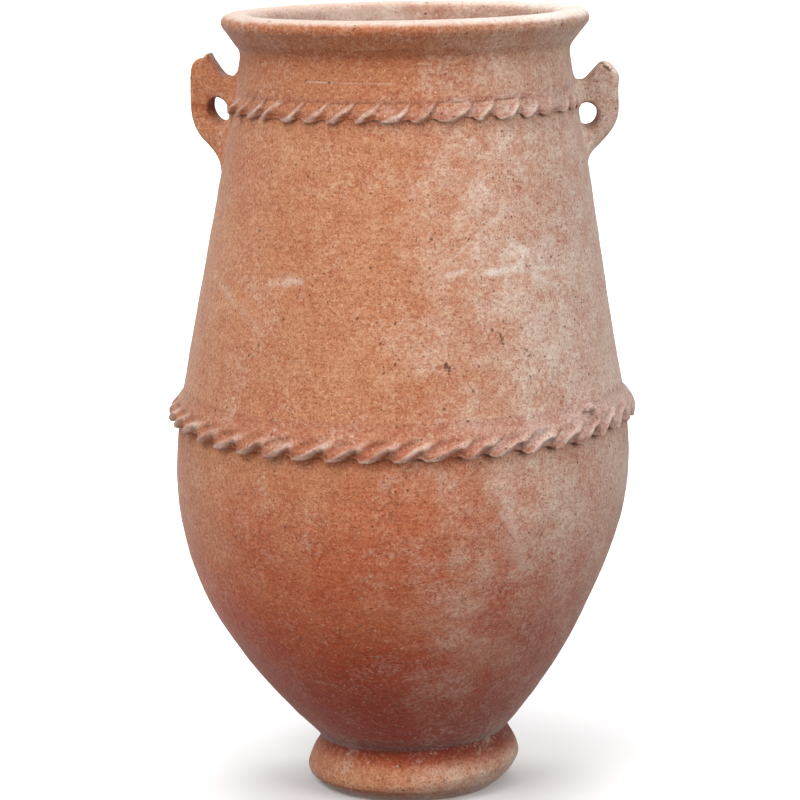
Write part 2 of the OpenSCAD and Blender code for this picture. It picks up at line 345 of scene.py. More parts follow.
def band_tree():
    """Lays a strip of clay round the jar and presses slanting thumb marks into it."""
    kinds = {"Sectors": "Int", "Ends": "Int", "Clay": "Material"}
    names = ("Sectors", "Start", "Sweep", "Ends", "Marks", "First Tip", "Lip Height", "Band Height", "Lean",
             "Scoop", "Notch", "Wander", "Fade", "Plump", "Crisp", "Worn Angle", "Worn Width", "Seed", "Clay")
    board, terms = tree_inputs("Thumb-Marked Band", {name: kinds.get(name, "Float") for name in names})
    section, sectors, start, sweep, ends, marks, first_tip = terms[:7]
    lip_z, tall, lean, scoop, notch, wander, fade, plump, crisp, worn_at, worn_width, seed, clay = terms[7:]
    grid, column, row, radius, height = lay_grid(board, section, sectors)

    # An open band's first and last columns gather at one point, which closes its ends
    along = board.least(board.most(column - ends, 0), sectors - ends * 2) / (sectors - ends * 2)
    angle = start + sweep * along
    at_end = board.least(ends, board.most(board.math("LESS_THAN", column, 0.5),
                                          board.math("GREATER_THAN", column, sectors - 0.5)))
    named = board.add("GeometryNodeInputNamedAttribute", {"data_type": "FLOAT"}, {"Name": "proud"})
    proud = sample(board, "FLOAT", section, named, row)
    rise = height - lip_z

    # Place round the band counted in thumb marks, with tips at whole numbers
    ring = board.add("ShaderNodeCombineXYZ", None, {
        0: board.math("COSINE", angle), 1: board.math("SINE", angle), 2: seed})
    drift = board.noise(ring, 5.0, 1.0) - 0.5
    place = (angle - first_tip) * marks / (2 * math.pi) + drift * wander
    share = rise / tall
    slanted = place - board.most(share, 0.01) ** 0.75 * lean
    phase = slanted % 1
    owner = board.math("FLOOR", slanted) % marks
    chance = board.add(
        "ShaderNodeTexWhiteNoise", {"noise_dimensions": "1D"}, {"W": owner + seed * 17}, "Value")
    worn = 1 - 0.75 * board.math("EXPONENT", ((angle - worn_at) / worn_width) ** 2 * -1)

    # Each thumb mark sinks in past one crest and comes out before the next
    eastward = board.step(0.05, 0.8, board.math("COSINE", angle))
    thin = board.most(eastward, crisp)
    narrow = (1.3 - share * fade * 1.3) * (1 - thin * 0.4)
    digs = board.step(0.06, 0.5, phase / narrow)
    eases = board.step(0.05, 0.44, (1 - phase) / narrow)
    high_up = 1 - board.step(fade * 0.6, fade, share)
    on_face = board.step(0.0, 3 * MM, proud)
    low_down = 0.55 + 0.45 * board.step(0.02, 0.3, share)
    strength = (0.75 + 0.5 * chance) * worn * (1 - thin * 0.35)
    dug = scoop * digs * eases * high_up * low_down * strength * on_face

    # The lip hangs lowest at each crest's tip, rises along the crest and drops sharply to the next tip
    lip_phase = place % 1
    notched = (board.step(0.15, 0.75, lip_phase) - board.step(0.8, 1.0, lip_phase)) * (0.75 + 0.4 * chance)
    near_lip = 1 - board.step(0.05, 0.5, share)
    droop = (board.noise(ring, 2.2, 1.0) - 0.5) * 0.9
    free_lip = board.step(-1 * MM, 2 * MM, proud)
    lifted = notch * (notched + droop) * near_lip * free_lip * (0.35 + 0.65 * worn)
    pulled = proud * notched * near_lip * 0.5 * on_face * worn

    # To the west the strip stands fat and round, and at both sides its upper part is drawn flat
    sideways = board.step(0.86, 0.99, board.math("ABSOLUTE", board.math("COSINE", angle)))
    waist = board.step(0.15, 0.55, share) * (1 - board.step(0.5, 0.8, share))
    fat = sideways * (1 - eastward) * plump * waist * on_face
    upper = board.step(0.2 + 0.25 * eastward, 0.6 + 0.25 * eastward, share)
    trimmed = sideways * board.most(proud, 0) * (0.95 * upper + 0.2 * eastward)

    # Beside a handle the strip is smeared thin
    from_end = board.least(along, 1 - along) * sweep * marks / (2 * math.pi)
    smeared = ends * (1 - board.step(0.0, 1.4, from_end)) * 0.4 * board.most(proud, 0)
    core = board.add("GeometryNodeAttributeStatistic", {"data_type": "FLOAT_VECTOR"}, {
        "Geometry": section, "Attribute": board.add("GeometryNodeInputPosition")})
    middle = board.add("ShaderNodeSeparateXYZ", None, {0: core})
    pressed = radius + fat - trimmed - dug - pulled - smeared
    final_r = pressed + (middle - pressed) * at_end
    final_z = height + lifted + (middle.also("Z") - height - lifted) * at_end

    # Crests are marked so that the clay can pale there
    ridge = (1 - board.step(0.06, 0.3, board.least(phase, 1 - phase) / narrow)) * high_up
    crest = ridge * worn * on_face
    marked = board.add("GeometryNodeStoreNamedAttribute", {"data_type": "FLOAT", "domain": "POINT"}, {
        "Geometry": grid, "Name": "crest", "Value": crest})
    return end_tree(board, turn_out(board, marked, final_r, angle, final_z), clay)


def grow(name, section, tree, values):
    """The plain mesh that a tree makes of a closed section of [radius, height] points."""
    points = np.asarray(section)
    template = bpy.data.meshes.new(name)
    template.from_pydata([(r, 0, z) for r, z in points[:, :2]], [], [])
    if points.shape[1] > 2:
        template.attributes.new("proud", "FLOAT", "POINT").data.foreach_set("value", points[:, 2])
    maker = bpy.data.objects.new(name, template)
    bpy.context.scene.collection.objects.link(maker)
    modifier = maker.modifiers.new("Shape", "NODES")
    modifier.node_group = tree
    for item in tree.interface.items_tree:
        if item.name in values:
            modifier[item.identifier] = values[item.name]
    evaluated = maker.evaluated_get(bpy.context.evaluated_depsgraph_get())
    mesh = bpy.data.meshes.new_from_object(evaluated)
    maker.modifiers.remove(modifier)
    bpy.data.objects.remove(maker)
    bpy.data.meshes.remove(template)
    mesh.name = name
    return mesh


# ---- clay modelled by hand -----------------------------------------------------------------

def skin(field, low, high, step):
    """A closed mesh of quads round the places where the field is below nought."""
    axes = [np.arange(a, b + step, step) for a, b in zip(low, high)]
    grid = np.stack(np.meshgrid(*axes, indexing="ij"), axis=-1)
    value = field(grid.reshape(-1, 3)).reshape(grid.shape[:3])
    cells = np.array(value.shape) - 1
    total = np.zeros((cells.prod(), 3))
    count = np.zeros(cells.prod())
    quads = []
    for axis in range(3):
        ahead, side, other = np.roll(np.eye(3, dtype=int), -axis, axis=0)
        here = value[tuple(slice(0, n - a) for n, a in zip(value.shape, ahead))]
        there = value[tuple(slice(a, n) for n, a in zip(value.shape, ahead))]
        edge = np.argwhere((here < 0) != (there < 0))
        a = value[tuple(edge.T)]
        b = value[tuple((edge + ahead).T)]
        spot = grid[tuple(edge.T)] + ahead * step * (a / (a - b))[:, None]
        corners = [np.ravel_multi_index((edge - shift).T, cells)
                   for shift in (side + other, other, side * 0, side)]
        for corner in corners:
            np.add.at(total, corner, spot)
            np.add.at(count, corner, 1)
        face = np.stack(corners, axis=1)
        quads.append(np.where((a < 0)[:, None], face, face[:, ::-1]))
    used = np.flatnonzero(count)
    renumber = np.zeros(len(count), int)
    renumber[used] = np.arange(len(used))
    points = total[used] / count[used, None]
    for _ in range(2):
        points -= toward(field, points, 0.25 * step)
    return points, renumber[np.concatenate(quads)]


def toward(field, points, reach):
    """The step that takes each point to the field's surface."""
    value = field(points)
    slope = np.stack([(field(points + reach * unit) - field(points - reach * unit)) / (2 * reach)
                      for unit in np.eye(3)], axis=1)
    steep = np.maximum((slope ** 2).sum(axis=1), 0.1)
    return slope * np.clip(value / steep, -2 * MM, 2 * MM)[:, None]


def merge(a, b, soft):
    """Two lumps of clay pressed together, with the join smoothed over."""
    return np.minimum(a, b) - np.clip(soft - abs(a - b), 0, None) ** 2 / (4 * soft)


def cut(a, b, soft):
    """A lump of clay with another shape pushed out of it, edges smoothed."""
    return -merge(-a, b, soft)


def wall_depth(points):
    """Distance outside the jar's wall, negative within it."""
    x, y, z = points.T
    lean = (wall(z + MM) - wall(z - MM)) / (2 * MM)
    return (np.hypot(x, y) - wall(z)) / np.hypot(1, lean)


def outline_depth(outline, r, z):
    """Distance outside a closed outline, negative inside."""
    nearest = np.full(len(r), 1e9)
    inside = np.zeros(len(r), bool)
    for (r0, z0), (r1, z1) in zip(outline, np.roll(outline, -1, axis=0)):
        dr, dz = r1 - r0, z1 - z0
        share = np.clip(((r - r0) * dr + (z - z0) * dz) / (dr * dr + dz * dz), 0, 1)
        nearest = np.minimum(nearest, np.hypot(r - r0 - share * dr, z - z0 - share * dz))
        if dz:
            inside ^= ((z0 > z) != (z1 > z)) & (r < r0 + (z - z0) / dz * dr)
    return np.where(inside, -nearest, nearest)


def rounded(points, steps=4):
    """A closed smooth curve through the points."""
    points = np.asarray(points, float)
    a, b, c, d = (np.roll(points, shift, axis=0) for shift in (1, 0, -1, -2))
    square, cube = 2 * a - 5 * b + 4 * c - d, 3 * b - a - 3 * c + d
    curve = [0.5 * (2 * b + t * (c - a) + t * t * square + t ** 3 * cube) for t in np.arange(steps) / steps]
    return np.stack(curve, axis=1).reshape(-1, 2)


# Outlines of the handles as [radius, height] in millimetres: from the saddle beside the neck over the
# horn, down the outer side and back into the shoulder
LEFT_OUTLINE = (
    (170, 838), (184, 835), (190, 830.5), (198, 828.5), (206, 832), (213, 842), (218, 850), (221.5, 855.5),
    (226, 851), (233, 849.5), (239, 844), (241, 834), (241.5, 812), (240.5, 789), (236, 774), (229, 763),
    (220, 753.5), (212, 744), (206, 735), (198, 722), (170, 720),
)
RIGHT_OUTLINE = (
    (170, 832), (184, 834), (189, 824), (196, 818), (204, 819), (212, 828), (219, 836), (224, 838.5),
    (232, 837), (239, 829), (242, 820), (242, 804), (242, 785), (240, 773), (236, 764), (229, 754),
    (220, 744.5), (211, 735), (204, 723), (196, 712), (170, 710),
)


def handle_field(points, side, outline, eye, opening, edge, turn, seed):
    """A horned lug pressed on to the wall and pierced by a cord hole."""
    x, y, z = points.T
    away = x * side - LUG_R
    r = LUG_R + away * math.cos(turn) + y * math.sin(turn)
    across = y * math.cos(turn) - away * math.sin(turn)
    depth = wall_depth(points)
    root = 7 * (1 - ease(0, 13 * MM, depth)) ** 1.5
    thinned = 2 * ease(0.205, 0.24, r) + 3 * ease(0.825, 0.85, z)
    deep = LUG_HALF + root - thinned + 1.2 * lumps(points, 0.03, seed)
    curve = rounded(np.asarray(outline) * MM, 3)
    flat = outline_depth(curve, r, z) + 0.5 * MM * lumps(points, 0.02, seed + 1)
    a, b = flat + edge, abs(across) - deep * MM + edge
    lug = np.hypot(np.maximum(a, 0), np.maximum(b, 0)) + np.minimum(np.maximum(a, b), 0) - edge
    flare = np.clip(abs(across) / (18 * MM), 0, 1) ** 2
    wide, tall, more_wide, more_tall, shift, slant = opening
    wide, tall = (wide + more_wide * flare) * MM, (tall + more_tall * flare) * MM
    up = z - eye[1] * MM + (0.5 * more_tall * flare + 3 * ease(0, -18 * MM, y)) * MM
    out = r - (eye[0] + shift * flare) * MM - slant * up
    oval = (np.hypot(out / wide, up / tall) - 1) * np.minimum(wide, tall)
    lug = cut(lug, oval, 4 * MM)
    joined = merge(lug, depth + 0.7 * MM, 6 * MM)
    return np.maximum(np.maximum(joined, -depth - 3 * MM), lug - 12 * MM)


def crumb_field(points):
    """A scrap of slip left on the wall above the lower band."""
    rough = 1.8 * lumps(points, 0.006, 21) + 1.2 * lumps(points, 0.003, 22)
    ball = (np.linalg.norm((points - CRUMB_PLACE) / CRUMB_SIZE, axis=1) - 1) * CRUMB_SIZE[2] + rough * MM
    depth = wall_depth(points)
    joined = merge(ball, depth + 0.6 * MM, 4 * MM)
    return np.maximum(np.maximum(joined, -depth - 2 * MM), ball - 5 * MM)


# ---- finishing a piece ---------------------------------------------------------------------

def keep(mesh, clay, node=None, roughen=0.0, sharp=35):
    """Gives a mesh its handmade unevenness and keeps it as a piece of the jar."""
    points = np.zeros(len(mesh.vertices) * 3)
    mesh.vertices.foreach_get("co", points)
    points = points.reshape(-1, 3)
    if roughen:
        outward = points * (1, 1, 0) / np.maximum(np.hypot(*points.T[:2]), MM)[:, None]
        bits = lumps(points, 0.007, 11) + 0.6 * lumps(points, 0.0035, 12)
        points = points + outward * (bits * roughen)[:, None]
    mesh.vertices.foreach_set("co", by_hand(points).ravel())
    mesh.materials.clear()
    mesh.materials.append(clay)
    mesh.set_sharp_from_angle(angle=math.radians(sharp))
    mesh.update()
    piece = bpy.data.objects.new(mesh.name, mesh)
    bpy.context.scene.collection.objects.link(piece)
    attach(piece, "root")
    if node:
        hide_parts(node)
    return piece


def mesh_of(name, points, faces):
    mesh = bpy.data.meshes.new(name)
    mesh.from_pydata(points.tolist(), [], faces.tolist())
    mesh.shade_smooth()
    return mesh


# ---- clay ----------------------------------------------------------------------------------

def paint(red, green, blue):
    """A colour given in the usual 0 to 255, as light values."""
    values = [v / 255 for v in (red, green, blue)]
    return tuple(v / 12.92 if v <= 0.04045 else ((v + 0.055) / 1.055) ** 2.4 for v in values)


# Wiped marks of white salt on the front, as start and end [east, height] in metres, width and strength
SMEARS = (
    ((0.084, 0.628), (0.124, 0.632), 5 * MM, 0.9), ((0.122, 0.631), (0.166, 0.605), 6 * MM, 0.9),
    ((0.120, 0.630), (0.128, 0.648), 6 * MM, 0.9), ((0.138, 0.629), (0.174, 0.625), 10 * MM, 0.9),
    ((0.126, 0.648), (0.152, 0.653), 10 * MM, 0.7), ((0.105, 0.648), (0.118, 0.650), 9 * MM, 0.7),
    ((0.032, 0.632), (0.101, 0.690), 5 * MM, 0.35), ((0.042, 0.628), (0.062, 0.633), 5 * MM, 0.6),
    ((-0.150, 0.614), (-0.118, 0.620), 7 * MM, 0.4), ((-0.215, 0.610), (-0.165, 0.565), 7 * MM, 0.2),
    ((0.104, 0.39), (0.125, 0.30), 14 * MM, 0.3), ((-0.107, 0.833), (-0.012, 0.8325), 1 * MM, 0.3),
)

# Scars of white salt on the right handle
SCARS = (((0.229, 0.838), (0.237, 0.830), 3 * MM, 1.0), ((0.237, 0.830), (0.240, 0.822), 2 * MM, 0.8))

# Nicks and short cracks in the shoulder
NICKS = (
    ((0.041, 0.533), (0.0425, 0.526), 2.2 * MM, 1.0), ((0.099, 0.564), (0.103, 0.551), 1.3 * MM, 0.9),
    ((0.129, 0.543), (0.132, 0.534), 1.2 * MM, 0.7), ((0.064, 0.512), (0.070, 0.503), 1.1 * MM, 0.6),
)

# A nick in the right handle's horn
HORN_NICKS = (((0.2225, 0.8385), (0.2315, 0.8305), 1.6 * MM, 1.0),)

# Belts of painted shade at the foot's base, in the crease above the foot, under the bands, under the lip and
# down the neck below it: top, depth and strength
SHADE_BELTS = (
    (0.014, 0.03, 1.0), (0.066, 0.026, 0.9), (0.437, 0.018, 0.9), (0.796, 0.015, 0.9), (0.868, 0.045, 1.0),
    (0.893, 0.12, 0.75),
)

# Colours laid over the clay
SOOT_AND_SHADE = (0.085, 0.03, 0.015, 1)
CHALK = (0.72, 0.64, 0.56, 1)
STRAW = (0.62, 0.38, 0.2, 1)
STRAW_EAST = (0.6, 0.47, 0.38, 1)
LIP_SALT = (0.63, 0.53, 0.46, 1)
LIP_SALT_EAST = (0.76, 0.68, 0.61, 1)

# Tints that the clay is multiplied by: the first two are painted shade, in the belts and under the belly
BELT_SHADE_TINT = (0.74, 0.52, 0.38, 1)
UNDERSIDE_SHADE_TINT = (0.57, 0.3, 0.15, 1)
IRON_TINT = (0.74, 0.5, 0.42, 1)
WORN_TINT = (0.8, 0.76, 0.8, 1)


def smeared(board, marks, east, height, cloud):
    """How far a place lies within the wiped marks."""
    total = None
    for (x0, z0), (x1, z1), width, strength in marks:
        length = (x1 - x0) ** 2 + (z1 - z0) ** 2
        along = ((east - x0) * (x1 - x0) + (height - z0) * (z1 - z0)) / length
        along = board.least(board.most(along, 0), 1)
        off_x = east - x0 - along * (x1 - x0)
        off_z = height - z0 - along * (z1 - z0)
        away = board.math("SQRT", off_x * off_x + off_z * off_z) + (cloud - 0.5) * width * 4.5
        mark = (1 - board.step(0.0, width, away)) * strength
        total = mark if total is None else board.most(total, mark)
    return total


def flecks(board, place, scale):
    """Scattered flecks: the distance to the nearest one, and its random colour."""
    nearest = board.add("ShaderNodeTexVoronoi", None, {"Vector": place, "Scale": scale})
    return nearest, board.add("ShaderNodeSeparateColor", None, {0: nearest.also("Color")})


def clay_material(name, marks=(), nicks=(), worn=False):
    """Fired clay: orange to the west, pale with salts to the east and on the lip, redder and darker below,
    with painted shade under the bands, the lip and the belly and in the crease above the foot.
    """
    look = bpy.context.scene.jar_clay
    body, dark, pale, bloom = ((*colour, 1) for colour in (look.body, look.dark, look.pale, look.bloom))
    material = bpy.data.materials.new(name)
    material.use_nodes = True
    material.node_tree.nodes.clear()
    board = Board(material.node_tree)
    place = board.add("ShaderNodeTexCoord", None, None, "Object")
    parts = board.add("ShaderNodeSeparateXYZ", None, {0: place})
    east, north, height = parts, parts.also("Y"), parts.also("Z")
    front = 1 - board.step(-0.01, 0.01, north)

    # Noise from hand-wide clouds down to single grains, and the marks of the potter's rings and scraper
    clouds = board.step(0.3, 0.7, board.noise(place, 6.5, 4.0, 0.6, 0.4))
    mottle = board.step(0.28, 0.72, board.noise(place, 34.0, 5.0, 0.65))
    torn = board.noise(place, 20.0, 8.0, 0.72, 0.4)
    grit = board.step(0.28, 0.72, board.noise(place, 210.0, 3.0, 0.7))
    grain = board.step(0.28, 0.72, board.noise(place, 480.0, 2.0, 0.6))
    straw = board.step(0.54, 0.68, board.noise(place, 300.0, 4.0, 0.75))
    rusty = board.step(0.52, 0.62, board.noise(place, 150.0, 7.0, 0.85, 1.5))
    rings = board.noise(board.vector("MULTIPLY", place, (3.0, 3.0, 150.0)), 1.0, 3.0, 0.6)
    scrapes = board.noise(board.vector("MULTIPLY", place, (75.0, 75.0, 5.0)), 1.0, 3.0, 0.6)

    # Slow changes of colour: redder and darker towards the bottom, salts drawn out to the east
    sunk = 1 - board.step(0.06, 0.52, height + (clouds - 0.5) * 0.1)
    sunk = sunk * board.step(0.035, 0.06, height)
    colour = board.mix(sunk, body, dark)
    east_side = board.step(-0.05, 0.24, east + (clouds - 0.5) * 0.06 + (mottle - 0.5) * 0.08)
    colour = board.mix(east_side * (0.9 - sunk * 0.55), colour, pale)

    # Painted shade: darker, warmer belts at the foot's base, in the crease, under the bands and under the
    # lip, weaker to the east
    belt_shade = None
    for top, deep, strength in SHADE_BELTS:
        under = board.step(top - deep, top, height + (mottle - 0.5) * 0.01)
        under = under * (1 - board.step(top, top + 4 * MM, height)) * strength
        belt_shade = under if belt_shade is None else board.most(belt_shade, under)
    colour = board.mix(belt_shade * (1 - east_side * 0.4), colour, BELT_SHADE_TINT, "MULTIPLY")

    # Painted shade where the belly turns under above the foot, stronger to the east
    underside_shade = (1 - board.step(0.08, 0.29, height + (clouds - 0.5) * 0.05)) * board.step(0.03, 0.07, height)
    underside_shade = underside_shade * (0.75 + 0.25 * board.step(-0.12, 0.08, east))
    colour = board.mix(underside_shade, colour, UNDERSIDE_SHADE_TINT, "MULTIPLY")

    # Every noise lightens or darkens the clay, its red less than its green and blue
    lightness = (0.73 + clouds * 0.12 + mottle * 0.2 + (rings - 0.5) * 0.22 + (scrapes - 0.5) * 0.2
                 + (grit - 0.5) * 0.42 + (grain - 0.5) * 0.5)
    tone = board.add("ShaderNodeCombineColor", None, {
        0: 0.42 + lightness * 0.5,
        1: lightness * (0.96 + mottle * 0.06),
        2: lightness * (0.94 + mottle * 0.14)})
    colour = board.mix(1.0, colour, tone, "MULTIPLY")

    # Straw-coloured and rusty flecks
    colour = board.mix(straw * 0.48, colour, board.mix(east_side, STRAW, STRAW_EAST))
    colour = board.mix(rusty * (0.72 - east_side * 0.15), colour, IRON_TINT, "MULTIPLY")

    # Painted shade in the crease above the foot
    crease_shade = board.step(0.04, 0.058, height) * (1 - board.step(0.064, 0.085, height))
    colour = board.mix(crease_shade * 0.5, colour, SOOT_AND_SHADE)

    # Salt bloom in torn patches, on the lip and along the thumbed ridges
    patches = board.step(0.5, 0.78, torn + east_side * 0.06 + (grit - 0.5) * 0.2) * 0.25
    lip = board.step(JAR_H - 7 * MM, JAR_H - 1 * MM, height + (torn - 0.5) * 0.01) * (0.75 + mottle * 0.25)
    across = board.vector("LENGTH", board.vector("MULTIPLY", place, (1.0, 1.0, 0.0)), (0, 0, 0), "Value")
    inside = 1 - board.step(NECK_R - 10 * MM, NECK_R, across)
    inside = inside * board.step(JAR_H - 45 * MM, JAR_H - 15 * MM, height)
    lip = board.most(lip, inside * (0.85 - 0.5 * board.step(-0.02, 0.03, east)) * (0.6 + mottle * 0.4))
    crest = board.add("ShaderNodeAttribute", {"attribute_name": "crest"}, None, "Fac")
    crest = crest * (0.12 + mottle * 0.5)
    bloomed = board.most(patches, crest)
    if worn:
        colour = board.mix(1 - crest, colour, WORN_TINT, "MULTIPLY")
    if marks:
        broken = board.step(0.38, 0.58, board.noise(place, 90.0, 4.0, 0.7))
        wiped = smeared(board, marks, east, height, torn + (grit - 0.5) * 0.15)
        bloomed = board.most(bloomed, wiped * front * (0.3 + broken))
    colour = board.mix(bloomed * (0.65 + grit * 0.35), colour, bloom)
    salt = board.mix(east_side, LIP_SALT, LIP_SALT_EAST)
    colour = board.mix(lip * (0.75 + grit * 0.25), colour, salt)

    # Dark and white grit, and pits with a dark floor
    bits, kinds = flecks(board, place, 300.0)
    core = 1 - board.step(0.1, 0.25 + 0.2 * kinds.also("Blue"), bits + (grain - 0.5) * 0.25)
    colour = board.mix(core * board.step(0.78, 0.82, kinds) * 0.75, colour, SOOT_AND_SHADE)
    rare = board.step(0.9, 0.96, kinds.also("Green") * 0.86 + torn * 0.28)
    colour = board.mix(core * rare * 0.5, colour, CHALK)
    holes, hole_kinds = flecks(board, place, 75.0)
    pit = (1 - board.step(0.07, 0.15, holes + (grain - 0.5) * 0.06)) * board.step(0.72, 0.76, hole_kinds)
    colour = board.mix(pit * 0.7, colour, SOOT_AND_SHADE)

    if nicks:
        nicked = smeared(board, nicks, east, height, 0.45 + (grit - 0.5) * 0.5) * front
        colour = board.mix(nicked * 0.75, colour, SOOT_AND_SHADE)
        pit = board.most(pit, nicked)

    # Hairline cracks where the wall dried fast
    wobble = board.add("ShaderNodeTexNoise", None, {"Vector": place, "Scale": 40.0, "Detail": 3.0}, "Color")
    bent = board.vector("ADD", place, board.vector("MULTIPLY", wobble, (0.02, 0.02, 0.02)))
    crazed = board.add(
        "ShaderNodeTexVoronoi", {"feature": "DISTANCE_TO_EDGE"}, {"Vector": bent, "Scale": 27.0})
    low_belt = 1 - board.step(0.02, 0.09, board.math("ABSOLUTE", height - 0.37))
    where = board.step(0.55, 0.8, board.noise(place, 11.0, 3.0) + 0.14 * low_belt)
    cracked = (1 - board.step(0.003, 0.015, crazed)) * where
    colour = board.mix(cracked * 0.28, colour, SOOT_AND_SHADE)

    raised = grit * 0.45 + grain * 0.2 + mottle * 0.5 + rings * 0.6 + scrapes * 0.4
    relief = raised - pit * 1.2 - cracked * 0.5
    bump = board.add(
        "ShaderNodeBump", None, {"Strength": 0.8, "Distance": 1.2 * MM, "Height": relief}, "Normal")
    surface = board.add("ShaderNodeBsdfPrincipled", None, {
        "Base Color": colour, "Roughness": 0.8 + mottle * 0.15, "Normal": bump, "Specular IOR Level": 0.2,
        "Sheen Weight": 0.42, "Sheen Roughness": 0.4, "Sheen Tint": (0.95, 0.9, 0.87, 1)})
    board.add("ShaderNodeOutputMaterial", None, {"Surface": surface})
    return material


# ---- settings ------------------------------------------------------------------------------

class JarShape(bpy.types.PropertyGroup):
    """Sizes that a potter would choose."""

    scoop: bpy.props.FloatProperty(
        name="Thumb Depth", description="Depth of a thumb mark in the lower band",
        default=5.5 * MM, unit="LENGTH")
    notch: bpy.props.FloatProperty(
        name="Lip Notch", description="Height of the notches along the lower band's lip",
        default=4 * MM, unit="LENGTH")
    lower_marks: bpy.props.IntProperty(
        name="Lower Marks", description="Thumb marks all round the lower band", default=44, min=20)
    upper_marks: bpy.props.FloatProperty(
        name="Upper Marks", description="Thumb marks in a full turn of the upper band",
        default=39.3, min=20)


def clay_colour(name, description, *shade):
    return bpy.props.FloatVectorProperty(
        name=name, description=description, default=paint(*shade), subtype="COLOR")


class JarClay(bpy.types.PropertyGroup):
    """Colours of the fired clay."""

    body: clay_colour("Body", "Orange clay of the walls", 194, 130, 94)
    dark: clay_colour("Bottom", "Red clay near the foot", 194, 74, 29)
    pale: clay_colour("Salted", "Paler clay on the weathered side", 215, 184, 166)
    bloom: clay_colour("Bloom", "White salts on the surface", 222, 208, 196)


# ---- operators -----------------------------------------------------------------------------

def climb(z0, z1, step):
    """Heights from z0 to z1 in equal steps of about the given size."""
    return np.linspace(z0, z1, max(2, round(abs(z1 - z0) / step) + 1))


def upright(radius, heights):
    return np.column_stack((radius(heights), heights))


def arc(centre_r, centre_z, radius, start, end, steps):
    angle = np.radians(np.linspace(start, end, steps))
    return np.column_stack((centre_r + radius * np.cos(angle), centre_z + radius * np.sin(angle)))


def line(start, end, steps):
    return np.linspace(start, end, steps + 1)[1:-1]


def thrown(name, section, clay, node):
    tree = bpy.data.node_groups.get("Thrown Wall") or wheel_tree()
    mesh = grow(name, section, tree, {"Sectors": SECTORS, "Clay": clay})
    return keep(mesh, clay, node)


class JAR_OT_foot(bpy.types.Operator):
    """Throw the ring foot and the floor that closes the jar"""

    bl_idname = "jar.foot"
    bl_label = "Foot and Floor"

    def execute(self, context):
        clay = clay_material("Foot clay")
        outer = upright(wall, climb(0, FOOT_H, 1.4 * MM))
        top = line(outer[-1], (HOLLOW_R - 4 * MM, FOOT_H), 6)
        hollow = np.array([(HOLLOW_R - 4 * MM, FOOT_H), (HOLLOW_R - 2 * MM, 0.025), (HOLLOW_R, 4 * MM)])
        base = arc(HOLLOW_R + 5 * MM, 5 * MM, 5 * MM, 190, 270, 5)
        sole = line(base[-1], outer[0], 5)
        thrown("foot_ring", np.concatenate((outer, top, hollow, base, sole)), clay, "foot")
        edge = upright(wall, climb(FOOT_H, FLOOR_Z, 1.4 * MM))
        under = np.array([(0, FOOT_H), *line((0, FOOT_H), edge[0], 12)])
        inside = line(edge[-1], (0, FLOOR_Z), 12)
        floor = np.concatenate((under, edge, inside, [(0, FLOOR_Z)]))
        thrown("floor_disc", floor, clay, "floor_slab")
        return {"FINISHED"}


class JAR_OT_walls(bpy.types.Operator):
    """Throw the belly, the shoulder and the neck, which meet at bevelled seams"""

    bl_idname = "jar.walls"
    bl_label = "Walls"

    def execute(self, context):
        clay = clay_material("Wall clay", SMEARS, NICKS)
        walls = (
            ("belly_wall", "belly", FLOOR_Z, LOWER_SEAM, 3.4 * MM),
            ("shoulder_wall", "shoulder", LOWER_SEAM, UPPER_SEAM, 3.3 * MM),
            ("neck_wall", "neck", UPPER_SEAM, NECK_Z, 1.8 * MM),
        )
        lap = {LOWER_SEAM: SEAM_LAP, UPPER_SEAM: SEAM_LAP}
        for name, node, low, high, step in walls:
            outer = upright(wall, climb(low, high, step))
            inner = upright(inner_wall, climb(high + lap.get(high, 0), low + lap.get(low, 0), 9 * MM))
            thrown(name, np.concatenate((outer, inner)), clay, node)
        return {"FINISHED"}


class JAR_OT_rim(bpy.types.Operator):
    """Roll the lip over the top of the neck"""

    bl_idname = "jar.rim"
    bl_label = "Rim"

    def execute(self, context):
        clay = clay_material("Rim clay")
        hollow = arc(NECK_R + UNDERCUT_R, NECK_Z + 4 * MM, UNDERCUT_R, 180, 144, 8)
        roll = arc(LIP_R - ROLL_R, JAR_H - ROLL_R, ROLL_R, -36, 90, 18)
        mouth = arc(NECK_R - 3 * MM, JAR_H - MOUTH_R, MOUTH_R, 90, 178, 12)
        throat = upright(lambda z: inner_wall(np.minimum(z, NECK_Z)) + 3 * MM * ease(NECK_Z, JAR_H, z),
                         climb(JAR_H - 18 * MM, NECK_Z, 4 * MM))
        section = np.concatenate((
            [(NECK_R, NECK_Z)], hollow, line(hollow[-1], roll[0], 14), roll,
            line(roll[-1], mouth[0], 6), mouth, throat))
        thrown("rolled_rim", section, clay, "rim")
        return {"FINISHED"}


def band_section(lip_z, tall, out):
    """A strip's section as [radius, height, proud]: down its face, round the lip and up inside the wall."""
    bend = 2.4 * MM
    share = np.linspace(1, bend / tall, 36)
    face_z = lip_z + tall * share
    full = (1 - ease(0.12, 1.0, share)) * (0.72 + 0.28 * ease(-0.05, 0.25, share))
    face = out * full - 0.4 * MM * ease(0.9, 1, share)
    tip_r = wall(face_z[-1]) + face[-1] - bend
    lip = arc(tip_r, lip_z + bend, bend, -8, -110, 9)
    root = (wall(lip_z + 4 * MM) - 0.5 * MM, lip_z + 0.1 * tall)
    under = line(lip[-1], root, 5)
    back_z = np.linspace(root[1] + 2 * MM, face_z[0] - 1 * MM, 4)
    r = np.concatenate((wall(face_z) + face, lip[:, 0], under[:, 0], [root[0]], wall(back_z) - 3 * MM))
    z = np.concatenate((face_z, lip[:, 1], under[:, 1], [root[1]], back_z))
    flipped = np.column_stack((r, z, r - wall(z)))
    return flipped[::-1]


